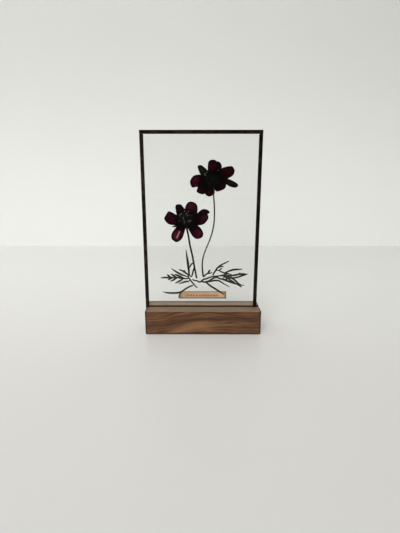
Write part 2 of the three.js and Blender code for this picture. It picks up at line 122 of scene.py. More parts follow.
def feed(socket, value):
    """Links a field to a socket, or sets the socket to a plain value or colour."""
    if isinstance(value, Field):
        value.tree.links.new(value.socket, socket)
    elif socket.type == "RGBA":
        socket.default_value = (*value, 1)
    else:
        socket.default_value = value


def set_inputs(made, **values):
    for key, value in values.items():
        feed(made.inputs[key.replace("_", " ")], value)
    return made


def worked_out(operation, *values):
    made = node(values[0].tree, "ShaderNodeMath", operation=operation)
    for socket, value in zip(made.inputs, values):
        feed(socket, value)
    return Field(made.outputs[0])


def mix(factor, first, second, blend="MIX"):
    tree = next(value.tree for value in (factor, first, second) if isinstance(value, Field))
    made = node(tree, "ShaderNodeMix", data_type="RGBA", blend_type=blend)
    feed(made.inputs["Factor"], factor)
    for socket, value in zip([s for s in made.inputs if s.type == "RGBA"], (first, second)):
        feed(socket, value)
    return Field(next(s for s in made.outputs if s.type == "RGBA"))


def shaded(colour, grey):
    return mix(1.0, colour, grey, "MULTIPLY")


def noise(vector, scale=1.0, detail=2.0, roughness=0.5, distortion=0.0):
    made = node(vector.tree, "ShaderNodeTexNoise")
    set_inputs(made, Vector=vector, Scale=scale, Detail=detail, Roughness=roughness,
               Distortion=distortion)
    return Field(made.outputs["Fac"])


def stretched(vector, scale):
    made = set_inputs(node(vector.tree, "ShaderNodeMapping"), Vector=vector, Scale=scale)
    return Field(made.outputs["Vector"])


def bump(shader, height, strength, distance):
    made = node(height.tree, "ShaderNodeBump")
    set_inputs(made, Height=height, Strength=strength, Distance=distance)
    set_inputs(shader, Normal=Field(made.outputs["Normal"]))


def new_material(name):
    """A material and its shader."""
    material = bpy.data.materials.new(name)
    material.use_nodes = True
    return material, material.node_tree.nodes["Principled BSDF"]


def object_place(material):
    """The place on the piece, and its x, y and z one by one."""
    where = Field(node(material.node_tree, "ShaderNodeTexCoord").outputs["Object"])
    return where, *parts_of(where)


def parts_of(vector):
    split = set_inputs(node(vector.tree, "ShaderNodeSeparateXYZ"), Vector=vector)
    return [Field(split.outputs[axis]) for axis in "XYZ"]


def from_uv(material):
    return Field(node(material.node_tree, "ShaderNodeUVMap", uv_map="UVMap").outputs["UV"])


def marked(material, name):
    """A value that was written on the piece's vertices."""
    return Field(node(material.node_tree, "ShaderNodeAttribute", attribute_name=name).outputs["Fac"])


def choose_look(share, first, second, out):
    """Shows the first look where share is 0 and the second where it is 1."""
    choice = node(share.tree, "ShaderNodeMixShader")
    looks = [Field(shader.outputs[0]) for shader in (first, second)]
    for socket, value in zip(choice.inputs, (share, *looks)):
        feed(socket, value)
    set_inputs(out, Surface=Field(choice.outputs[0]))


def unless_mirrored(tree, shader, mirrored, out):
    """One look for what is seen straight or through glass, a dim one for mirror images."""
    depth = Field(node(tree, "ShaderNodeLightPath").outputs["Glossy Depth"])
    choose_look(worked_out("MINIMUM", depth, 1), shader, mirrored, out)


SOCKETS = {"value": "NodeSocketFloat", "colour": "NodeSocketColor", "vector": "NodeSocketVector"}


def new_group(name, inputs, outputs):
    """A node group, its inputs as fields, and its output node.

    Inputs are (name, kind, default), outputs are (name, kind)."""
    group = bpy.data.node_groups.new(name, "ShaderNodeTree")
    for label, kind, default in inputs:
        socket = group.interface.new_socket(label, in_out="INPUT", socket_type=SOCKETS[kind])
        socket.default_value = default
    for label, kind in outputs:
        group.interface.new_socket(label, in_out="OUTPUT", socket_type=SOCKETS[kind])
    given = group.nodes.new("NodeGroupInput").outputs
    fields = {label: Field(given[label]) for label, kind, default in inputs}
    return group, fields, group.nodes.new("NodeGroupOutput")


def use_group(tree, group, **values):
    return set_inputs(node(tree, "ShaderNodeGroup", node_tree=group), **values).outputs


def make_fibre_grain():
    """Fine lines along a piece: in wood, paper, stems and petals."""
    group, given, result = new_group(
        "fibre_grain",
        [("Vector", "vector", (0, 0, 0)), ("Stretch", "vector", (1, 1, 1)), ("Detail", "value", 2.0)],
        [("Fibre", "value")])
    scaled = node(group, "ShaderNodeVectorMath", operation="MULTIPLY")
    feed(scaled.inputs[0], given["Vector"])
    feed(scaled.inputs[1], given["Stretch"])
    set_inputs(result, Fibre=noise(Field(scaled.outputs[0]), 1.0, given["Detail"], 0.6))
    return group


def make_mottle():
    """Soft blotches, 0 in the gaps and 1 in the middle of a blotch."""
    group, given, result = new_group(
        "mottle",
        [("Vector", "vector", (0, 0, 0)), ("Scale", "value", 400.0), ("Detail", "value", 3.0),
         ("Low", "value", 0.35), ("High", "value", 0.65)],
        [("Mottle", "value")])
    cloud = noise(given["Vector"], given["Scale"], given["Detail"], 0.6)
    set_inputs(result, Mottle=cloud.step(given["Low"], given["High"]))
    return group


FIBRE_GRAIN = make_fibre_grain()
MOTTLE = make_mottle()


def fibres(vector, stretch, detail=2.0):
    return Field(use_group(vector.tree, FIBRE_GRAIN, Vector=vector, Stretch=stretch,
                           Detail=detail)["Fibre"])


def mottled(vector, scale, low=0.35, high=0.65, detail=3.0):
    return Field(use_group(vector.tree, MOTTLE, Vector=vector, Scale=scale, Low=low, High=high,
                           Detail=detail)["Mottle"])


# Camera, light and room ----

STAGE_SIZE = 3
WALL_Y = 0.417


def set_up(name, data, location, rotation):
    thing = bpy.data.objects.new(name, data)
    thing.location = location
    thing.rotation_euler = rotation
    bpy.context.scene.collection.objects.link(thing)
    return thing


def add_camera():
    data = bpy.data.cameras.new("camera")
    data.lens = 23.64
    data.clip_start = 0.01
    data.clip_end = 20
    bpy.context.scene.camera = set_up("camera", data, (-1.79 * MM, -302.5 * MM, 133.9 * MM),
                                      (math.radians(76.11), 0, math.radians(0.17)))


def add_lights():
    """A wide window in front and a weak one on the left."""
    middle = Vector((0, 0, 0.08))
    for name, place, size, power in (("window_front", (-0.3, -1.5, 0.6), 1.4, 39.5),
                                     ("window_left", (-1.2, 0.1, 0.8), 0.9, 3.0)):
        data = bpy.data.lights.new(name, "AREA")
        data.shape = "DISK"
        data.size = size
        data.energy = power
        data.color = (1, 0.995, 0.98)
        way = middle - Vector(place)
        light = set_up(name, data, place, way.to_track_quat("-Z", "Y").to_euler())
        light.visible_glossy = False
        light.visible_transmission = False


def add_world():
    """A pale room. Its mirror image is dim, so that clear glass stays clear."""
    world = bpy.data.worlds.new("pale_room")
    bpy.context.scene.world = world
    world.use_nodes = True
    tree = world.node_tree
    tree.nodes.clear()
    pale = set_inputs(node(tree, "ShaderNodeBackground"), Color=(0.74, 0.75, 0.73), Strength=0.5)
    dim = set_inputs(node(tree, "ShaderNodeBackground"), Color=(0.012, 0.012, 0.011))
    unless_mirrored(tree, pale, dim, node(tree, "ShaderNodeOutputWorld"))


def pale_paint(name, near, far, axis, reach, roughness):
    """Plain paint that changes from one colour to another along an axis: the change is painted light and
    shade.
    """
    material, shader = new_material(name)
    where, x, y, z = object_place(material)
    colour = mix({"y": y, "z": z}[axis].step(*reach), near, far)
    cloud = mottled(where, 2.5, 0.3, 0.7)
    set_inputs(shader, Base_Color=shaded(colour, cloud.step(0, 1, 0.99, 1.0)), Roughness=roughness)
    return material, shader


def add_stage():
    """A table and the wall behind it, with painted shade: the table darker towards the front, the wall
    darker towards the top. The table's mirror image is dim too.
    """
    # Painted shade: the table darker towards the front and lighter towards the wall.
    paint, shader = pale_paint("pale_table", (0.575, 0.565, 0.55), (0.915, 0.91, 0.888), "y",
                               (-0.35, 0.25), 0.3)
    tree = paint.node_tree
    where, x, y, z = object_place(paint)
    # Painted shade in the table's mirror image: bright near the frame, dark further in front.
    dim = set_inputs(node(tree, "ShaderNodeBsdfDiffuse"), Color=y.step(-0.29, -0.10, 0.01, 0.5))
    unless_mirrored(tree, shader, dim, tree.nodes["Material Output"])
    floor = add_plane("floor", (0, WALL_Y - STAGE_SIZE / 2, 0), (0, 0, 0), paint)
    # Painted shade: the wall lighter near the table and darker towards the top.
    paint, shader = pale_paint("pale_wall", (0.635, 0.639, 0.624), (0.49, 0.492, 0.48), "z",
                               (0.0, 0.45), 0.8)
    wall = add_plane("wall", (0, WALL_Y, STAGE_SIZE / 2), (math.pi / 2, 0, 0), paint)


def add_plane(name, location, rotation, paint):
    lay_aside()
    bpy.ops.mesh.primitive_plane_add(size=STAGE_SIZE, location=location, rotation=rotation)
    plane = settled(name)
    plane.data.materials.append(paint)
    return plane


# Modelling by hand ----

def lay_aside():
    """Nothing is selected or being edited any more."""
    if bpy.context.mode != "OBJECT":
        bpy.ops.object.mode_set(mode="OBJECT")
    bpy.ops.object.select_all(action="DESELECT")


def take(*pieces):
    """Selects these pieces and no others. The first is the active one."""
    lay_aside()
    for piece in pieces:
        piece.select_set(True)
    bpy.context.view_layer.objects.active = pieces[0]


def settled(name):
    """Names the piece at hand, and takes its place, turn and size into its mesh."""
    bpy.ops.object.transform_apply(location=True, rotation=True, scale=True)
    bpy.context.object.name = name
    return bpy.context.object


def edit(piece):
    take(piece)
    bpy.ops.object.mode_set(mode="EDIT")
    bpy.ops.mesh.select_mode(type="VERT")
    return edited(piece)


def edited(piece):
    mesh = bmesh.from_edit_mesh(piece.data)
    mesh.verts.ensure_lookup_table()
    return mesh


def pick(piece, kind, test):
    """Selects the vertices, edges or faces that pass a test, and nothing else."""
    bpy.ops.mesh.select_all(action="DESELECT")
    bpy.ops.mesh.select_mode(type={"verts": "VERT", "edges": "EDGE", "faces": "FACE"}[kind])
    mesh = bmesh.from_edit_mesh(piece.data)
    for element in getattr(mesh, kind):
        if test(element):
            element.select_set(True)
    bmesh.update_edit_mesh(piece.data)


def add_block(name, low, high):
    """A cube made to reach from one corner to the other."""
    lay_aside()
    bpy.ops.mesh.primitive_cube_add(size=1, location=(Vector(low) + Vector(high)) / 2)
    bpy.context.object.scale = Vector(high) - Vector(low)
    return settled(name)


def cut_beside_middle(piece, distance):
    """Cuts the piece being edited along both sides of the panel's middle."""
    for side in (-1, 1):
        pick(piece, "faces", lambda face: True)
        bpy.ops.mesh.bisect(plane_co=(0, side * distance, 0), plane_no=(0, 1, 0))


def draw_out(piece, way, distance, length):
    """Extrudes the faces that look one way and lie beyond a distance from the middle."""
    pick(piece, "faces", lambda face: face.normal.dot(way) > 0.9
         and abs(face.calc_center_median().y) > distance)
    bpy.ops.mesh.extrude_region_move(TRANSFORM_OT_translate={"value": way * length})


def apply_modifier(piece, name, kind, **settings):
    modifier = piece.modifiers.new(name, kind)
    for key, value in settings.items():
        setattr(modifier, key, value)
    take(piece)
    bpy.ops.object.modifier_apply(modifier=modifier.name)


def stand_in(piece, node_name):
    """Puts a piece in the place of its node in the frame."""
    take(piece)
    bpy.ops.object.shade_smooth()
    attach(piece, "root")
    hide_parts(node_name)


def finish(piece, material, node_name):
    lay_aside()
    piece.data.materials.clear()
    piece.data.materials.append(material)
    stand_in(piece, node_name)


# Walnut ----

def walnut():
    """Oiled walnut. The grain rises towards the right at the left end, then runs level."""
    material, shader = new_material("oiled_walnut")
    where, x, y, z = object_place(material)
    rise = x.step(-46 * MM, 4 * MM, 0.0, 8.0 * MM)
    sway = (noise(stretched(where, (22, 40, 50))) - 0.5) * (7 * MM)
    level = z - rise + sway
    grain = set_inputs(node(where.tree, "ShaderNodeCombineXYZ"), X=x, Y=y, Z=level)
    grain = Field(grain.outputs[0])

    figure = noise(stretched(grain, (34, 120, 420)), 1.0, 3.0, 0.55, 0.5)
    fine = fibres(grain, (45, 1150, 1400), 3.0)
    clouds = noise(stretched(where, (45, 60, 70)))
    tone = figure * 0.5 + (fine.step(0.3, 0.7) * 0.3 + clouds * 0.2)
    colour = tone.ramp((0.35, (0.037, 0.0145, 0.0058)), (0.45, (0.060, 0.0246, 0.0095)),
                       (0.55, (0.084, 0.0362, 0.0145)), (0.66, (0.125, 0.0585, 0.0240)))

    dark_line = abs(level - 6.6 * MM).step(0.2 * MM, 1.0 * MM, 0.8, 0.0)
    colour = mix(dark_line * fine.step(0.35, 0.6, 0.4, 1.0), colour, (0.036, 0.016, 0.009))
    pale_band = abs(level - 0.6 * MM).step(0.6 * MM, 5.4 * MM, 1.0, 0.0)
    pale_band *= abs(x + 11 * MM).step(6 * MM, 29 * MM, 0.82, 0.0)
    pale_band *= fine.step(0.3, 0.6, 0.6, 1.0)
    colour = mix(pale_band, colour, (0.184, 0.092, 0.040))
    # Painted shade: the base darker towards its right end, away from the light on the left.
    colour = shaded(colour, x.step(32 * MM, 42 * MM, 1.0, 0.87))

    # Painted sheen: the flat top face paler and greyer, as if it mirrored the wall, brightest just behind
    # the panel.
    painted_sheen = fine.ramp((0.3, (0.200, 0.131, 0.080)), (0.7, (0.295, 0.202, 0.127)))
    painted_sheen = shaded(painted_sheen, y.step(1 * MM, 4 * MM, 1.0, 1.45))
    painted_sheen = shaded(painted_sheen, y.step(6 * MM, 9 * MM, 1.0, 0.8))
    top = z.step(BASE_HIGH.z - 0.75 * MM, BASE_HIGH.z - 0.12 * MM)
    colour = mix(top * 0.9, colour, painted_sheen)

    pores = fibres(grain, (260, 5200, 5200), 1.0).step(0.58, 0.7)
    colour = mix(pores * 0.4, colour, (0.022, 0.010, 0.005))

    # Painted shade: darker bands at the rounded ends, along the foot, along the back edge of the top and in
    # the groove.
    end = BASE_HIGH.x
    ends = (abs(x).step(end - 2.0 * MM, end - 1.0 * MM, 0.0, 0.92)
            * abs(x).step(end - 0.25 * MM, end - 0.02 * MM, 1.0, 0.4))
    foot = z.step(0.9 * MM, 2.1 * MM, 0.9, 0.0)
    back_edge_shade = (y.step(BASE_HIGH.y - 3.8 * MM, BASE_HIGH.y - 2.6 * MM)
                 * z.step(BASE_HIGH.z - 2 * MM, BASE_HIGH.z - 0.5 * MM, 0.0, 0.9))
    groove_wall = GROOVE_WIDTH / 2
    groove = (abs(y).step(groove_wall + 0.1 * MM, groove_wall + 0.5 * MM, 0.6, 0.0)
              * z.step(GROOVE_FLOOR - 1 * MM, GROOVE_FLOOR))
    # All of it painted shade, laid over the wood in one dark brown.
    dark = reduce(partial(worked_out, "MAXIMUM"), (ends, foot, back_edge_shade, groove))
    colour = mix(dark, colour, (0.026, 0.011, 0.006))
    set_inputs(shader, Base_Color=colour, Roughness=fine.step(0.25, 0.75, 0.34, 0.46))
    bump(shader, fine * 0.4 - pores, 0.3, 0.05 * MM)
    return material


def is_near(value, other):
    return abs(value - other) < 1e-6


def walnut_block():
    """The base: a web under the groove, two walls drawn up beside it, all edges rounded."""
    block = add_block("walnut_block", BASE_LOW, (BASE_HIGH.x, BASE_HIGH.y, GROOVE_FLOOR))
    edit(block)
    cut_beside_middle(block, GROOVE_WIDTH / 2)
    draw_out(block, Vector((0, 0, 1)), GROOVE_WIDTH / 2, BASE_HIGH.z - GROOVE_FLOOR)

    def at_height(edge, height):
        return all(is_near(v.co.z, height) for v in edge.verts)

    def at_corner(edge):
        outside = [all(is_near(abs(v.co[axis]), BASE_HIGH[axis]) for v in edge.verts) for axis in (0, 1)]
        return sum(outside) + (at_height(edge, BASE_HIGH.z) or at_height(edge, BASE_LOW.z)) >= 2

    def at_groove(edge):
        beside = all(is_near(abs(v.co.y), GROOVE_WIDTH / 2) for v in edge.verts)
        return beside and at_height(edge, BASE_HIGH.z)

    pick(block, "edges", at_corner)
    bpy.ops.mesh.bevel(offset=BASE_ROUNDING, segments=5, profile=0.5)
    pick(block, "edges", at_groove)
    bpy.ops.mesh.bevel(offset=GROOVE_ROUNDING, segments=2, profile=0.5)
    finish(block, walnut(), "walnut_base")
    bpy.ops.object.shade_smooth_by_angle(angle=math.radians(30))


# Glass ----

def clear_glass():
    material, shader = new_material("clear_glass")
    tree = material.node_tree
    set_inputs(shader, Base_Color=(0.997, 1.0, 0.997), Roughness=0.0, IOR=1.38, Transmission_Weight=1.0)
    clear = set_inputs(node(tree, "ShaderNodeBsdfTransparent"), Color=(0.985, 0.99, 0.985))
    in_shadow = Field(node(tree, "ShaderNodeLightPath").outputs["Is Shadow Ray"])
    choose_look(in_shadow, shader, clear, tree.nodes["Material Output"])
    return material


def glass_sheet(name, node_name, material):
    """A sheet with ground edges, held just clear of the metal around it."""
    low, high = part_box(node_name)
    play = Vector((0.03, 0.03, 0.03)) * MM
    sheet = add_block(name, low + play, high - play)
    edit(sheet)
    pick(sheet, "edges", lambda edge: True)
    bpy.ops.mesh.bevel(offset=0.15 * MM, segments=1)
    finish(sheet, material, node_name)
    bpy.ops.object.shade_flat()


# Edging ----

def dark_bronze():
    material, shader = new_material("dark_bronze")
    where, x, y, z = object_place(material)
    patina = mottled(where, 260.0, 0.3, 0.7, 5.0)
    streaks = fibres(where, (500, 500, 60), 3.0)
    # Painted light: the strips lighter towards the left, the side the light comes from.
    left_light = x.step(-40 * MM, 40 * MM, 0.03, -0.10)
    tone = patina * 0.55 + streaks * 0.45 + left_light
    colour = tone.ramp((0.2, (0.004, 0.0022, 0.0016)), (0.5, (0.012, 0.007, 0.005)),
                       (0.8, (0.040, 0.024, 0.016)))
    set_inputs(shader, Base_Color=colour, Roughness=patina.step(0.1, 0.9, 0.34, 0.5), Metallic=0.5)
    bump(shader, tone, 0.4, 0.05 * MM)
    return material


def edging_strip(name, node_name, inward, material):
    """A strip folded round both sheets: a narrow web with two lips drawn out of it.

    inward is the way from the panel's outer edge to its middle."""
    low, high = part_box(node_name)
    inward = Vector(inward)
    lip = (high - low).dot(Vector(map(abs, inward)))
    spare = inward * (lip - EDGING_WALL)
    web_low = low + Vector([max(-part, 0) for part in spare])
    web_high = high - Vector([max(part, 0) for part in spare])
    strip = add_block(name, web_low, web_high)
    edit(strip)
    cut_beside_middle(strip, PANEL_THICKNESS / 2 - EDGING_WALL)
    draw_out(strip, inward, PANEL_THICKNESS / 2 - EDGING_WALL, lip - EDGING_WALL)
    outside = (low + high) / 2 - inward * lip / 2

    def is_outer_corner(edge):
        first, second = (v.co for v in edge.verts)
        lengthways = abs((first - second).y) < 1e-7 and abs((first - second).dot(inward)) < 1e-7
        at_back = all(is_near((co - outside).dot(inward), 0) for co in (first, second))
        return lengthways and at_back and is_near(abs(first.y), PANEL_THICKNESS / 2)

    pick(strip, "edges", is_outer_corner)
    bpy.ops.mesh.bevel(offset=EDGING_ROUNDING, segments=3, profile=0.5)
    pick(strip, "edges", lambda edge: edge.calc_length() > 50 * MM)
    bpy.ops.mesh.subdivide(number_cuts=EDGING_CUTS)
    apply_modifier(strip, "hand_folded", "DISPLACE", texture=edging_wobble(), strength=0.07 * MM,
                   mid_level=1.0, texture_coords="GLOBAL")
    finish(strip, material, node_name)
    bpy.ops.object.shade_smooth_by_angle(angle=math.radians(35))


def edging_wobble():
    name = "edging_wobble"
    texture = bpy.data.textures.get(name) or bpy.data.textures.new(name, "CLOUDS")
    texture.noise_scale = 4 * MM
    return texture


# Pressed things ----

GRID_SIZE = 10 * MM


def on_panel(point, shift):
    return Vector((PANEL_X + (point[0] + shift[0]) * MM, 0, PANEL_Z + (point[1] + shift[1]) * MM))


def depth_of(node_name):
    """The middle of a node's thickness, from front to back."""
    low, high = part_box(node_name)
    return (low.y + high.y) / 2


def smooth_line(points, steps_between):
    """Points along a smooth curve through the given ones, the same curve as the frame's."""
    points = [Vector(p) for p in points]
    last = len(points) - 1
    line = []
    for i in range(last * steps_between):
        first, t = divmod(i / steps_between, 1)
        first = int(first)
        p0, p1 = points[max(first - 1, 0)], points[first]
        p2, p3 = points[first + 1], points[min(first + 2, last)]
        v1, v2 = (p2 - p0) / 2, (p3 - p1) / 2
        line.append((2 * p1 - 2 * p2 + v1 + v2) * t ** 3
                    + (-3 * p1 + 3 * p2 - 2 * v1 - v2) * t ** 2 + v1 * t + p1)
    return line + [points[last]]


def pressed_sheet(name, rows, columns, depth, shift):
    """A grid whose rows are laid between pairs of points on the panel, from foot to tip."""
    lay_aside()
    steps = len(rows) - 1
    bpy.ops.mesh.primitive_grid_add(
        x_subdivisions=columns, y_subdivisions=steps, size=GRID_SIZE, calc_uvs=True,
        location=(0, depth, 0), rotation=(math.pi / 2, 0, 0))
    piece = settled(name)
    mesh = edit(piece)
    bpy.ops.mesh.select_all(action="DESELECT")
    for index, (left, right) in enumerate(rows):
        row = mesh.verts[index * (columns + 1):(index + 1) * (columns + 1)]
        for vert in row:
            vert.select_set(True)
        left, right = on_panel(left, shift), on_panel(right, shift)
        middle = (left + right) / 2 + Vector((0, depth, 0))
        across = right - left
        start = Vector((0, depth, GRID_SIZE * (index / steps - 0.5)))
        bpy.ops.transform.translate(value=middle - start)
        bpy.ops.transform.resize(value=(max(across.length, 0.01 * MM) / GRID_SIZE, 1, 1),
                                 center_override=middle)
        bpy.ops.transform.rotate(value=math.atan2(across.z, across.x), orient_axis="Y",
                                 center_override=middle)
        for vert in row:
            vert.select_set(False)
    return piece


def lift(chosen, amount):
    """Moves the chosen vertices of the piece being edited towards the front glass."""
    bpy.ops.mesh.select_all(action="DESELECT")
    for vert in chosen:
        vert.select_set(True)
    bpy.ops.transform.translate(value=(0, -amount, 0))


def thicken(piece, thickness):
    edit(piece)
    bpy.ops.mesh.select_all(action="SELECT")
    bpy.ops.mesh.remove_doubles(threshold=0.02 * MM)
    apply_modifier(piece, "thickness", "SOLIDIFY", thickness=thickness, offset=0)
    apply_modifier(piece, "soft_edges", "SUBSURF", levels=1, render_levels=1)


# Petals ----

# Each petal is one outline: from its narrow foot under the disc up one side to the tip, and
# down the other side. Both sides have as many points, and the tip is the middle one.
UPPER_PETALS = {
    "left": [(6.2, 114.4), (2, 116.4), (-0.8, 116.8), (-3.6, 116.8), (-6.4, 116), (-8.4, 113.9),
        (-9.6, 111.4), (-9, 108.3), (-7.3, 106.4), (-5, 106.9), (-2.4, 107.1), (2, 108.6), (6.2, 111.2)],
    "upper_left": [(6.6, 113.6), (2.2, 114.8), (-0.8, 117.1), (-1.8, 119.3), (-2.6, 121.7), (-3.1, 123.5),
        (-1.9, 124.6), (0.1, 124.4), (1.9, 123.2), (3.8, 121.6), (5.4, 119.9), (7.4, 117.8), (8.3, 115.4)],
    "top_left": [(8, 114.8), (5.9, 117.4), (5.3, 120.5), (5.4, 123.6), (5.7, 126.4), (6.9, 128.3),
        (9.4, 129), (11.7, 128.4), (13, 126.8), (13.5, 124), (13.2, 120.4), (12, 117.6), (10, 115)],
    "top_right": [(9.3, 115), (9.6, 118), (10.3, 121.4), (11.6, 125), (12.8, 127.3), (14.2, 127.4),
        (15.6, 126.5), (16.4, 125.5), (16.9, 123.9), (16.8, 122.4), (15.7, 120.2), (13.8, 117.4),
        (10.9, 114.3)],
    "upper_right": [(11, 114.8), (13.2, 118.4), (16, 121.5), (19.4, 122.9), (23, 123.6), (26, 123.4),
        (27.8, 120.4), (27.2, 117.6), (25.7, 115.8), (23.5, 114.6), (20.8, 113.1), (16.4, 112.4),
        (11.7, 112.6)],
    "right": [(11.6, 112.8), (16.4, 113.9), (22, 113.5), (24.8, 112.5), (27.5, 111.2), (29.9, 109.8),
        (31.1, 108.2), (29.4, 106.5), (26.2, 106.6), (23.1, 107.8), (20.4, 109.4), (16.4, 110.6),
        (11.3, 111)],
    "lower_right": [(11.6, 111.6), (15.6, 111.2), (18.9, 111.1), (20.6, 109.8), (20.8, 108.2),
        (20.3, 106.3), (19.1, 105), (17.2, 104.1), (15, 103.4), (13.1, 103.1), (11.7, 104.3), (10.2, 107),
        (10.4, 110.1)],
    "bottom": [(7.7, 110), (4.8, 107), (3.4, 103.8), (3.2, 101.4), (4.3, 99.9), (5.6, 99.2), (6.9, 98.9),
        (8.2, 99.2), (9.2, 99.9), (10, 101.3), (10.3, 103.6), (9.9, 106.6), (9.5, 110)],
    "lower_left": [(6.6, 111.4), (1, 110.4), (-2.6, 108), (-3.2, 105.8), (-3.9, 104), (-3.8, 102.7),
        (-2.1, 101.6), (-0.2, 100.9), (1.6, 100.9), (3.2, 101.7), (4.6, 103.2), (6.2, 106.4), (7.9, 110)],
}

LOWER_PETALS = {
    "left": [(-15, 82.2), (-19.4, 83), (-22.4, 84), (-25.6, 85.9), (-28.3, 86.4), (-30, 84.1),
        (-32.1, 80.7), (-30.9, 78.1), (-28.7, 75.9), (-26, 75), (-22.4, 74.7), (-18.6, 74.9), (-15, 76.4)],
    "upper_left": [(-15.6, 80.4), (-19.6, 81.8), (-21.3, 84.4), (-21.8, 87.6), (-22.1, 90), (-21.3, 92.1),
        (-18.9, 92.6), (-17.1, 92.1), (-16.1, 90.8), (-14.9, 89.4), (-13.9, 88.2), (-12.5, 85.6),
        (-12.9, 82.2)],
    "top": [(-13.6, 82.1), (-14.6, 85.4), (-14.1, 88.2), (-13.3, 91), (-12.2, 93), (-10.6, 94.4),
        (-8.4, 94.8), (-5.4, 93.8), (-3.7, 91.7), (-3.2, 89.4), (-3.4, 86.4), (-4.6, 82.8), (-9.4, 80.8)],
    "upper_right": [(-11.1, 81.1), (-6.4, 83.2), (-3, 85.3), (-1.2, 86.9), (0.8, 88.1), (3.2, 88.3),
        (5.7, 87.5), (7.3, 85.8), (6.4, 84.7), (5.1, 84.3), (3.4, 83.7), (1, 82.4), (-1.6, 81.4),
        (-5.6, 80.6), (-10.6, 79.8)],
    "right": [(-10.8, 80.4), (-4.6, 83.6), (0, 85), (3, 85), (5, 84.2), (6, 82.6), (6.1, 80.4), (4.5, 77.9),
        (2.3, 75.7), (-0.4, 74.8), (-3.4, 74.6), (-6.6, 74.9), (-10.8, 76.8)],
    "lower_right": [(-10, 79), (-5.4, 76.2), (-2, 73.5), (-0.3, 71.7), (1, 69.4), (1.7, 67), (0.7, 64.1),
        (-2.6, 62.6), (-4.1, 62.7), (-5.8, 63.5), (-7.8, 65.4), (-9.2, 67.7), (-10.6, 70.2), (-11.9, 73.2),
        (-12.6, 77)],
    "lower_left": [(-16.6, 77.8), (-20.2, 74.8), (-22.2, 72.2), (-24.2, 69.8), (-25.6, 67.4), (-26.1, 64.8),
        (-25.4, 62), (-22.2, 59.7), (-19.6, 60.5), (-17.3, 62.4), (-15.9, 64.9), (-15, 67.7), (-14.1, 70.4),
        (-13.4, 73.2), (-13.4, 77)],
}

PETAL_COLUMNS = 12
PETAL_ROWS_BETWEEN = 3
PETAL_THICKNESS = 0.06 * MM
PLEAT_ROWS = (3, 5, 7)
RIM = 0.12

# How much of each petal is wine red. The others dried to an olive black.
UPPER_WINE = {"left": 0.85, "upper_left": 0.06, "top_left": 0.62, "top_right": 0.35, "upper_right": 0.45,
              "right": 0.02, "lower_right": 0.4, "bottom": 0.6, "lower_left": 0.5}
LOWER_WINE = {"left": 0.62, "upper_left": 0.4, "top": 0.9, "upper_right": 0.25, "right": 0.8,
              "lower_right": 0.9, "lower_left": 1.0}

# The one petal that creased when it was pressed, and the line along its crease where a pink highlight is
# painted
CREASED_PETAL = "lower_petal_lower_left"
HIGHLIGHT_LINE = [(-18.9, 68.9), (-19.6, 67.3), (-20.4, 65.6), (-21.2, 63.8)]
FAR_FROM_HIGHLIGHT = 9.0


def petal_velvet():
    """Dried petal skin: near-black rim and foot, wine or olive black between, veined.

    margin is the distance to the petal's rim and crease that to the line of its painted pink highlight, both
    in millimetres; wine says how red the petal stayed."""
    material, shader = new_material("petal_velvet")
    where = object_place(material)[0]
    margin, wine, crease = (marked(material, name) for name in ("margin", "wine", "crease"))
    uv = from_uv(material)
    from_foot = parts_of(uv)[1]
    blotches = mottled(where, 520.0, 0.36, 0.62, 2.0)
    specks = mottled(where, 1500.0, 0.4, 0.7, 2.0)
    veins = fibres(uv, (15, 1.3, 1)).step(0.36, 0.62)

    inside = (margin + blotches * 0.5).step(0.6, 2.1) * from_foot.step(0.22, 0.5)
    red = inside * (veins * 0.4 + (blotches * 0.45 + 0.15)) + inside * specks * 0.12
    wine_colour = (red * wine).ramp(
        (0.0, (0.0020, 0.0012, 0.0013)), (0.25, (0.007, 0.0008, 0.0018)),
        (0.6, (0.023, 0.0014, 0.0052)), (1.0, (0.055, 0.009, 0.019)))
    olive_colour = (inside * (veins * (blotches + 0.2))).ramp(
        (0.0, (0.0018, 0.0018, 0.0015)), (0.5, (0.004, 0.004, 0.003)), (1.0, (0.017, 0.016, 0.012)))
    colour = mix(wine.step(0.1, 0.3), olive_colour, wine_colour)
    # Painted highlight: a pale pink streak along the one creased petal's fold, as if light caught it.
    pale = (crease + veins * -0.25).step(0.0, 0.95, 0.85, 0.0)
    colour = mix(pale * margin.step(0.6, 1.6), colour, (0.34, 0.125, 0.175))
    set_inputs(shader, Base_Color=colour, Roughness=veins.step(0.0, 1.0, 0.8, 0.62),
               Specular_IOR_Level=0.12)
    bump(shader, veins + blotches * 0.5, 0.4, 0.05 * MM)
    return material


def widened(edges, amount):
    """The petal's two edges moved apart, since its rim stands a little out of the outline."""
    upper, lower = edges
    moved = []
    for line, other in ((upper, lower), (lower, upper)):
        moved.append([point + (point - facing).normalized() * amount if (point - facing).length > 0.5
                      else point + (point - line[-4]).normalized() * amount
                      for point, facing in zip(line, other)])
    return moved


def petal(name, outline, depth, random):
    tip = len(outline) // 2
    edges = (outline[:tip + 1], outline[:tip - 1:-1])
    upper, lower = widened([smooth_line(edge, PETAL_ROWS_BETWEEN) for edge in edges], RIM)
    piece = pressed_sheet(name, list(zip(upper, lower)), PETAL_COLUMNS, depth, FLOWER_HEAD_SHIFT)
    mesh = edited(piece)
    width = PETAL_COLUMNS + 1
    for column in range(1, PETAL_COLUMNS):
        pleat = (0.5 + 0.5 * math.cos(column / PETAL_COLUMNS * 2 * math.pi * 2.5)) * random.uniform(0.6, 1)
        for first_row in PLEAT_ROWS:
            lift([v for v in mesh.verts if v.index % width == column
                  and first_row <= v.index // width < len(upper) - 1], 0.03 * MM * pleat)
    lay_aside()
    mark_distance(piece, "margin", upper, lower)
    thicken(piece, PETAL_THICKNESS)
    return piece


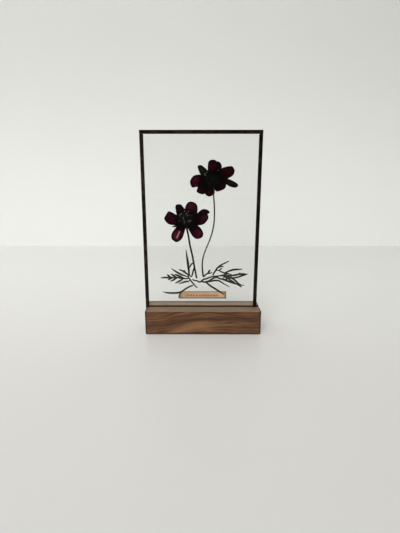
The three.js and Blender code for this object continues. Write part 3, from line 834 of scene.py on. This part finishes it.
def mark_distance(piece, name, *lines):
    """Writes each vertex's distance from the nearest line on the flower, in millimetres."""
    lines = [[on_panel(point, FLOWER_HEAD_SHIFT) for point in line] for line in lines]
    mark = piece.data.attributes.new(name, "FLOAT", "POINT")
    for vert in piece.data.vertices:
        flat = Vector((vert.co.x, 0, vert.co.z))
        near = []
        for line in lines:
            for first, second in zip(line, line[1:]):
                share = geometry.intersect_point_line(flat, first, second)[1]
                near.append((flat - first.lerp(second, min(max(share, 0), 1))).length)
        mark.data[vert.index].value = min(near) / MM


def mark_all(piece, name, value):
    """Writes one value on every vertex."""
    mark = piece.data.attributes.new(name, "FLOAT", "POINT")
    for vert in piece.data.vertices:
        mark.data[vert.index].value = value


def flower_petals(flower, outlines, wine, material, seed):
    random = Random(seed)
    for place, outline in outlines.items():
        node_name = f"{flower}_petal_{place}"
        piece = petal(f"{node_name}_dried", outline, depth_of(node_name), random)
        mark_all(piece, "wine", wine[place])
        if node_name == CREASED_PETAL:
            mark_distance(piece, "crease", HIGHLIGHT_LINE)
        else:
            mark_all(piece, "crease", FAR_FROM_HIGHLIGHT)
        finish(piece, material, node_name)


# Discs of florets ----

GOLDEN_ANGLE = math.radians(137.508)

# Loose pale anthers and pollen on and around each disc
UPPER_POLLEN = [(2.6, 117.6), (4.4, 118.6), (14.1, 120.2), (3.4, 116.6)]
LOWER_POLLEN = [(-14.4, 86.7), (-11, 86.4), (-11.6, 83), (-15.3, 81.2), (-15.1, 80), (-14.8, 78.6),
                (-14.4, 77.3), (-8.7, 78.6), (-10.6, 78.5), (-17.2, 84.4), (-18.6, 83.6), (-12.6, 84.6)]


def dried_florets():
    """Black to olive grey, by the tone that each floret was given."""
    material, shader = new_material("dried_florets")
    where = object_place(material)[0]
    grain = mottled(where, 2600.0, 0.35, 0.65, 2.0)
    tone = marked(material, "tone") * (grain * 0.7 + 0.4)
    colour = tone.ramp((0.0, (0.0022, 0.0026, 0.0020)), (0.45, (0.006, 0.0065, 0.0050)),
                       (0.75, (0.024, 0.021, 0.019)), (1.0, (0.110, 0.096, 0.090)))
    set_inputs(shader, Base_Color=colour, Roughness=0.85, Specular_IOR_Level=0.12)
    bump(shader, grain, 0.5, 0.03 * MM)
    return material


def pollen():
    material, shader = new_material("pale_pollen")
    where = object_place(material)[0]
    colour = noise(where, 2500.0).ramp((0.3, (0.10, 0.09, 0.07)), (0.7, (0.28, 0.27, 0.22)))
    set_inputs(shader, Base_Color=colour, Roughness=0.9)
    return material


def floret():
    """One small tube with a flared, hollow mouth, lying along +Z with its foot at the origin."""
    lay_aside()
    bpy.ops.mesh.primitive_cone_add(vertices=6, radius1=0.12 * MM, radius2=0.24 * MM,
                                    depth=1.2 * MM, location=(0, 0, 0.6 * MM))
    tube = settled("floret")
    edit(tube)
    pick(tube, "faces", lambda face: face.normal.z > 0.9)
    bpy.ops.mesh.extrude_region_move(TRANSFORM_OT_translate={"value": (0, 0, 0.2 * MM)})
    bpy.ops.transform.resize(value=(1.3, 1.3, 1), center_override=(0, 0, 1.4 * MM))
    bpy.ops.mesh.inset(thickness=0.1 * MM)
    bpy.ops.transform.translate(value=(0, 0, -0.25 * MM))
    pick(tube, "edges", lambda edge: abs(edge.verts[0].co.z - edge.verts[1].co.z) > 1 * MM)
    bpy.ops.mesh.subdivide(number_cuts=1)
    bpy.ops.transform.resize(value=(1.1, 1.1, 1), center_override=(0, 0, 0.6 * MM))
    lay_aside()
    return tube


def join(name, pieces):
    take(*pieces)
    whole = settled(name)
    if len(pieces) > 1:
        bpy.ops.object.join()
    return whole


def floret_disc(flower, centre, radii, count, pale_share, grains, materials, seed):
    """Florets set in a golden spiral on a flat pad, splayed outwards by pressing."""
    random = Random(seed)
    node_name = f"{flower}_disc"
    low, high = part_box(node_name)
    middle = on_panel(centre, FLOWER_HEAD_SHIFT)
    behind = Vector((0, high.y - 0.06 * MM, 0))
    lay_aside()
    bpy.ops.mesh.primitive_uv_sphere_add(segments=32, ring_count=12, radius=1,
                                         location=middle + behind)
    pad = bpy.context.object
    pad.scale = (radii[0] * 0.86 * MM, 0.05 * MM, radii[1] * 0.86 * MM)
    pad.data.materials.append(materials[0])
    mark_all(pad, "tone", 0.0)
    model = floret()
    model.data.materials.append(materials[0])
    florets = []
    for index in range(count):
        share = math.sqrt((index + 0.5) / count)
        angle = index * GOLDEN_ANGLE
        take(model)
        bpy.ops.object.duplicate(linked=False)
        part = bpy.context.object
        lean = math.radians(25 + 58 * share + random.uniform(-8, 8))
        out = Vector((math.cos(angle), 0, math.sin(angle)))
        way = out * math.sin(lean) + Vector((0, -math.cos(lean), 0))
        part.rotation_euler = way.to_track_quat("Z", "Y").to_euler()
        size = random.uniform(0.8, 1.3)
        part.scale = (size, size, size * (0.7 + 0.6 * share))
        tone = (0.6, 1) if random.random() < pale_share else (0, 0.4)
        mark_all(part, "tone", random.uniform(*tone))
        reach = 0.8 * share
        part.location = middle + Vector((out.x * radii[0] * reach * MM, 0, out.z * radii[1] * reach * MM))
        florets.append(part)
    bpy.data.objects.remove(model)
    florets = join(f"{node_name}_dried", florets)
    edit(florets)
    bpy.ops.mesh.select_all(action="SELECT")
    bpy.ops.transform.resize(value=(1, 0.16, 1), center_override=middle)
    bpy.ops.transform.translate(value=behind)
    parts = [florets, pad]
    for point in grains:
        lay_aside()
        bpy.ops.mesh.primitive_ico_sphere_add(subdivisions=1, radius=1)
        grain = bpy.context.object
        grain.location = on_panel(point, FLOWER_HEAD_SHIFT) + Vector((0, low.y + 0.1 * MM, 0))
        grain.scale = [random.uniform(0.25, 0.45) * MM, 0.06 * MM, random.uniform(0.25, 0.45) * MM]
        grain.data.materials.append(materials[1])
        mark_all(grain, "tone", 1.0)
        parts.append(grain)
    stand_in(join(f"{node_name}_dried", parts), node_name)


# Stems, stalks and leaves ----

LEAF_ROWS_BETWEEN = 3
LEAF_COLUMNS = 4
BLADE_SECTION = (0, 1, 0.55, 1, 0)


def blade(*line, start, full, tip, belly=0.5):
    """One blade: the points it passes, its widths, and where along it it is widest."""
    return {"line": line, "start": start, "full": full, "tip": tip, "belly": belly}


stem = partial(blade, start=1.7, full=1.6, tip=1.5)
stalk = partial(blade, start=1.25, full=1.45, tip=0.75)
leaflet = partial(blade, start=0.75, full=1.8, tip=0.65, belly=0.6)
wide_leaflet = partial(blade, start=1.1, full=2.2, tip=0.6)
thin_leaflet = partial(blade, start=0.85, full=1.35, tip=0.5)

STEMS = {
    "upper_stem": [
        blade((9.6, 108), (10.3, 103.4), (10.6, 98), (11.2, 91), (11.35, 83), (11, 76), (9.95, 70),
            (8.4, 64.4), (6.4, 59), (4.4, 54), (2.6, 49.2), (1.4, 44.6), (0.9, 40), (1.1, 35), (1.45, 31.2),
            (2.1, 28), start=1.25, full=1.2, tip=1.7, belly=0.6),
        blade((9, 110), (9.9, 106.4), (10.4, 103.2), (10.6, 101), start=3.4, full=2.4, tip=1.3),
    ],
    "lower_stem": [
        stem((-12.9, 77.5), (-12.6, 73), (-12, 69.4), (-11.2, 65.4), (-10.5, 61), (-9.9, 57), (-9.1, 53.4),
            (-8.3, 49.8), (-7.5, 46), (-6.9, 42.4), (-6.3, 39), (-5.9, 36.4), (-5.2, 33.4), (-4.7, 30.2),
            (-4, 26.8)),
        blade((-13.2, 78), (-12.9, 75), (-12.5, 72.6), (-12.2, 70.6), start=3.4, full=2.6, tip=1.4),
        stalk((-6, 37), (-6.8, 34.6), (-7.5, 32), (-8, 30), (-8.6, 28)),
        thin_leaflet((-6.7, 40.8), (-8.4, 40.2), (-9.3, 38.8), (-10.2, 36.6)),
    ],
    "lower_sepal": [
        blade((-17, 75.6), (-20, 74.5), (-22.6, 73.6), (-25.2, 73), start=1.9, full=2, tip=0.4),
    ],
}

LEAVES = {
    "left_blade_leaf": [
        wide_leaflet((-10.6, 29.8), (-11, 33.6), (-11.3, 37.2), (-11.8, 41), (-12.3, 45), (-12.9, 49),
            (-13.3, 53.4), belly=0.4),
    ],
    "left_feathered_leaf": [
        stalk((-11.4, 27), (-14, 26.5), (-17, 27), (-20, 27.5), (-24, 27.6), (-28, 27.5), (-32.5, 27.6),
            (-36.4, 27.3), full=1.6, tip=0.4, belly=0.85),
        stalk((-11.8, 30.6), (-11.5, 28), (-10, 25.8), (-8.6, 23.8), (-7, 21.6), (-5, 19.4), (-3.4, 17.8)),
        leaflet((-27.2, 27.7), (-28.8, 28.9), (-30.5, 30.5)),
        leaflet((-22.2, 27.8), (-24.3, 29.2), (-27.3, 31)),
        leaflet((-15.2, 26.8), (-18, 28.3), (-21, 29.5), (-23.9, 30.6)),
        leaflet((-11.6, 28.2), (-15, 29.3), (-19, 31), (-22.6, 33.1), (-26.6, 35.9)),
        leaflet((-8.6, 28.2), (-11, 29.9), (-14, 32), (-16.6, 33.8), (-20, 35)),
        thin_leaflet((-13.8, 32), (-14.6, 33.2), (-15.2, 34.6)),
        leaflet((-25.6, 27.4), (-27.6, 26.6), (-30, 25.4)),
        leaflet((-20.8, 27.6), (-22.6, 26.9), (-24.8, 25.4), (-27.8, 24)),
        leaflet((-15.8, 27.1), (-17.4, 25.4), (-20, 24), (-23.4, 22.2)),
        leaflet((-9.9, 25), (-11.6, 24), (-14.6, 23.7), (-16.6, 22.9), (-20.2, 21.9)),
        thin_leaflet((-15.8, 27.2), (-17.6, 26.8), (-20, 26.7)),
    ],
    "left_lower_stalk": [
        stalk((-7.2, 20.3), (-10, 19.4), (-13.4, 17.5), (-16.4, 15.4), (-18.8, 13.9), (-22, 13.2),
            (-27, 13.1), (-31, 13.4), (-35, 14.3), full=1.9, tip=0.3, belly=0.75),
        thin_leaflet((-18, 14.4), (-19.3, 12.4), (-20.1, 10.2), (-20.5, 8.4), full=1),
    ],
    "right_feathered_leaf": [
        stalk((-8, 26.1), (-6.4, 25), (-3.8, 24.6), (-1.8, 23.4), (0.2, 24.2), (2, 25.8), (5, 26.6),
            (8, 27.9), (11, 28.6), (15, 29), (18, 29.7), (21.4, 30.7), start=1, full=1.6),
        wide_leaflet((4.6, 24), (7.2, 24.5), (10, 26.5), (13, 27.6), (16.4, 28.9), full=1.7),
        wide_leaflet((-0.4, 23.8), (3, 23.6), (8, 24), (12, 24.8), (16, 24.6), (20, 22), (25.6, 18.9),
            full=1.7),
        wide_leaflet((12.6, 28.4), (16.8, 26.6), (21, 25.5), (25, 23.9), (29.2, 22.5), (33.4, 21.2),
            (39, 20.2), full=1.9),
        leaflet((31, 22), (34, 20.6), (36.6, 18.5)),
        wide_leaflet((19.4, 28.8), (24, 28), (28, 26.8), (31, 24.4), (34, 21.6), (37.4, 20.2), full=1.85),
        leaflet((22.4, 27.4), (26, 25.4), (29, 23.2), (32, 21.4)),
        wide_leaflet((16, 29.2), (22, 29.3), (27, 29.4), (31, 30), (35, 30.9), (41.8, 30.7), full=1.9,
            belly=0.8),
        wide_leaflet((24, 27.6), (29, 27.3), (33, 28), (36.4, 29.3), (40.6, 30.4), full=1.7, belly=0.75),
        thin_leaflet((20.4, 30.2), (22, 27.8), (23.6, 24.6), full=1),
        thin_leaflet((18.4, 26), (21, 28), (24, 29.6), (27.6, 30.6), full=1),
        thin_leaflet((23.4, 29.8), (25.4, 27.4), (26.6, 23.6), full=1),
        thin_leaflet((20.6, 25.6), (23.6, 26.6), (27.4, 28.8), full=1),
        thin_leaflet((33, 30.3), (34.2, 31.2), (34.5, 32.4)),
        thin_leaflet((20, 30.4), (22.6, 30.8), (25.8, 31.2)),
    ],
    "right_forked_leaf": [
        stalk((10.4, 29.6), (11.4, 32), (13, 34.2), (14.4, 36.6), (17, 38.8), (20.5, 40.7), (24.6, 42.8),
            full=1.6, tip=0.9),
        thin_leaflet((14.4, 36.6), (17, 37.7), (20.2, 37.8)),
        thin_leaflet((15.8, 34.5), (17, 35.2), (18.8, 36.6)),
        leaflet((12.9, 34.2), (15.6, 34.3), (18, 32.9), (20.6, 32), (23.4, 31.5), (26.2, 31), full=1.4),
        leaflet((19.8, 31.6), (22.6, 32.7), (25.4, 33.9), (28.6, 34.9), (32.6, 35.2), (36.8, 35.4)),
    ],
    "small_sprig": [
        stalk((2.3, 28), (3.6, 30), (5.4, 31.3), (7.6, 31.6), (9.8, 32.5)),
        leaflet((5.8, 31.3), (6.8, 33), (8, 34.9)),
    ],
    "right_lower_stalk": [
        stalk((1, 23.5), (3.6, 23.4), (5.6, 22.2), (8, 20.1), (11, 18.2), (14, 16.2), (17.4, 14.2),
            (20.8, 11.9), full=1.8, tip=1, belly=0.6),
    ],
}


def blade_rows(line, start, full, tip, belly):
    """Pairs of points across a blade that swells from its start to its belly, then narrows."""
    centre = smooth_line(line, LEAF_ROWS_BETWEEN)
    last = len(centre) - 1
    rows = []
    for index, point in enumerate(centre):
        along = (centre[min(index + 1, last)] - centre[max(index - 1, 0)]).normalized()
        across = Vector((-along.y, along.x))
        share = index / last
        if share < belly:
            end, swell = start, math.sin(share / belly * math.pi / 2)
        else:
            end, swell = tip, math.cos((share - belly) / (1 - belly) * math.pi / 2)
        half = (end + (full - end) * swell) / 2
        rows.append((point + across * half, point - across * half))
    return rows


def dried_blade(name, shape, depth, thickness, crown, random):
    """One blade of a leaf or stem: its middle stands proud, with a crease along it."""
    rows = blade_rows(**shape)
    piece = pressed_sheet(name, rows, LEAF_COLUMNS, depth, STEM_AND_LEAF_SHIFT)
    mesh = edited(piece)
    width = LEAF_COLUMNS + 1
    for column in range(1, LEAF_COLUMNS):
        lift([v for v in mesh.verts if v.index % width == column], crown * BLADE_SECTION[column])
    for row in range(2, len(rows), 3):
        lift([v for v in mesh.verts if row <= v.index // width <= row + 1],
             random.uniform(-0.02, 0.02) * MM)
    thicken(piece, thickness)
    return piece


def grown_piece(node_name, blades, material, thickness, crown, seed):
    """Blades that grew together, each a little before or behind the one it crosses."""
    random = Random(seed)
    middle = depth_of(node_name)
    parts = []
    for index, shape in enumerate(blades):
        depth = middle + (index % 3 - 1) * 0.02 * MM
        parts.append(dried_blade(f"{node_name}_{index}", shape, depth, thickness, crown, random))
    finish(join(f"{node_name}_dried", parts), material, node_name)


def make_dried_plant():
    """Dried stem and leaf: streaked along its fibres, blotched, bleached where told to be."""
    group, given, result = new_group(
        "dried_plant",
        [("Vector", "vector", (0, 0, 0)), ("Along", "vector", (0, 0, 0)), ("Dark", "colour", (0, 0, 0, 1)),
         ("Middle", "colour", (0.02, 0.02, 0.01, 1)), ("Pale", "colour", (0.1, 0.1, 0.06, 1)),
         ("Bleach", "value", 0.0)],
        [("Colour", "colour"), ("Roughness", "value"), ("Height", "value")])
    lines = fibres(given["Along"], (9, 1.5, 1))
    blotches = mottled(given["Vector"], 380.0, 0.3, 0.7)
    tone = lines * 0.5 + blotches * 0.35 + given["Bleach"]
    lower = mix(tone.step(0.2, 0.5), given["Dark"], given["Middle"])
    set_inputs(result, Colour=mix(tone.step(0.5, 0.85), lower, given["Pale"]),
               Roughness=lines.step(0.3, 0.7, 0.65, 0.85), Height=tone)
    return group


def dried_green(name, plant, dark, middle, pale, pale_band=None):
    """pale_band is the height on the panel, from and to, where the piece has bleached."""
    material, shader = new_material(name)
    where, x, y, z = object_place(material)
    bleach = 0.0
    if pale_band:
        low, high = (PANEL_Z + height * MM for height in pale_band)
        fade = (high - low) / 2
        bleach = z.step(low - fade, low + fade, 0.0, 0.3) * z.step(high - fade, high + fade, 1.0, 0.0)
    skin = use_group(where.tree, plant, Vector=where, Along=from_uv(material), Dark=dark,
                     Middle=middle, Pale=pale, Bleach=bleach)
    set_inputs(shader, Base_Color=Field(skin["Colour"]), Roughness=Field(skin["Roughness"]),
               Specular_IOR_Level=0.2)
    bump(shader, Field(skin["Height"]), 0.5, 0.04 * MM)
    return material


def stems_and_leaves():
    plant = make_dried_plant()
    bleached_stem = dried_green("bleached_stem", plant, (0.005, 0.006, 0.004), (0.018, 0.020, 0.014),
                                (0.085, 0.088, 0.062), pale_band=(48, 66))
    dark_stem = dried_green("dark_stem", plant, (0.002, 0.0022, 0.0015), (0.006, 0.0065, 0.0045),
                            (0.022, 0.024, 0.015))
    leaf_green = dried_green("dried_leaf", plant, (0.004, 0.005, 0.0022), (0.014, 0.016, 0.007),
                             (0.055, 0.060, 0.030))
    for index, (node_name, blades) in enumerate(STEMS.items()):
        stem_green = bleached_stem if node_name == "upper_stem" else dark_stem
        grown_piece(node_name, blades, stem_green, 0.12 * MM, 0.04 * MM, 20 + index)
    for index, (node_name, blades) in enumerate(LEAVES.items()):
        grown_piece(node_name, blades, leaf_green, 0.06 * MM, 0.03 * MM, 30 + index)


# Paper label ----

LABEL_LEFT_EDGE = [(-19.7, 7.5), (-20.7, 9), (-19.9, 10.9), (-19.1, 12.7), (-18.2, 14.6)]
LABEL_RIGHT_X = 22.8
LABEL_MIDDLE_Z = 11.3
LABEL_COLUMNS = 60
DASH_LINE_Z = 10.6
DASH_SPACING = 1.3


def tan_paper(middle_y):
    """Fibrous tan paper with darker edges and one row of small printed dashes in front."""
    material, shader = new_material("tan_paper")
    where, x, y, z = object_place(material)
    height = (z - PANEL_Z) / MM
    across = (x - PANEL_X) / MM
    lines = fibres(where, (900, 900, 2600), 3.0)
    stains = mottled(where, 160.0, 0.3, 0.7)
    paper = (lines * 0.5 + stains * 0.5).ramp(
        (0.1, (0.28, 0.170, 0.093)), (0.5, (0.365, 0.232, 0.135)), (0.9, (0.45, 0.305, 0.190)))
    border = (abs(height - LABEL_MIDDLE_Z) + stains * 0.3).step(1.9, 3.4, 0.0, 0.8)
    paper = mix(border, paper, (0.12, 0.085, 0.048))
    ends = across.step(20.4, 22.2, 0.0, 0.9) + across.step(-18.4, -15.8, 0.6, 0.0)
    paper = mix(ends, paper, (0.075, 0.060, 0.028))

    row = abs(height - DASH_LINE_Z).step(0.5, 1.15, 1.0, 0.0)
    dashes = worked_out("PINGPONG", across, DASH_SPACING).step(0.25, 0.5)
    between_ends = abs(across - 1.0).step(15.0, 15.6, 1.0, 0.0)
    in_front = y.step(middle_y - 0.01 * MM, middle_y + 0.01 * MM, 1.0, 0.0)
    ink = (row * dashes) * (between_ends * in_front)
    paper = mix(ink * 0.8, paper, (0.17, 0.065, 0.032))
    set_inputs(shader, Base_Color=paper, Roughness=lines.step(0.3, 0.7, 0.85, 0.95),
               Specular_IOR_Level=0.2)
    bump(shader, lines, 0.4, 0.03 * MM)
    return material


def paper_label():
    middle_y = depth_of("paper_label")
    rows = [(point, (LABEL_RIGHT_X, point.y)) for point in smooth_line(LABEL_LEFT_EDGE, 2)]
    label = pressed_sheet("torn_paper_label", rows, LABEL_COLUMNS, middle_y, (0, 0))
    mesh = edited(label)
    random = Random(9)
    for column in range(0, LABEL_COLUMNS + 1, 4):
        lift([v for v in mesh.verts if column <= v.index % (LABEL_COLUMNS + 1) < column + 4],
             random.uniform(-0.03, 0.03) * MM)
    thicken(label, 0.14 * MM)
    finish(label, tan_paper(middle_y), "paper_label")


# The whole frame ----

bpy.context.preferences.edit.use_global_undo = False
bpy.context.scene.view_settings.view_transform = "Standard"
add_camera()
add_lights()
add_world()
add_stage()
walnut_block()
glass = clear_glass()
glass_sheet("front_glass", "glass_front", glass)
glass_sheet("back_glass", "glass_back", glass)
bronze = dark_bronze()
for side, inward in (("top", (0, 0, -1)), ("bottom", (0, 0, 1)), ("left", (1, 0, 0)), ("right", (-1, 0, 0))):
    edging_strip(f"{side}_edging_strip", f"edging_{side}", inward, bronze)
velvet = petal_velvet()
flower_petals("upper", UPPER_PETALS, UPPER_WINE, velvet, 3)
flower_petals("lower", LOWER_PETALS, LOWER_WINE, velvet, 4)
floret_finishes = (dried_florets(), pollen())
floret_disc("upper", (9.4, 112.2), (6.4, 4.9), 120, 0.01, UPPER_POLLEN, floret_finishes, 5)
floret_disc("lower", (-13.8, 80.4), (6.8, 5.1), 150, 0.25, LOWER_POLLEN, floret_finishes, 6)
stems_and_leaves()
paper_label()
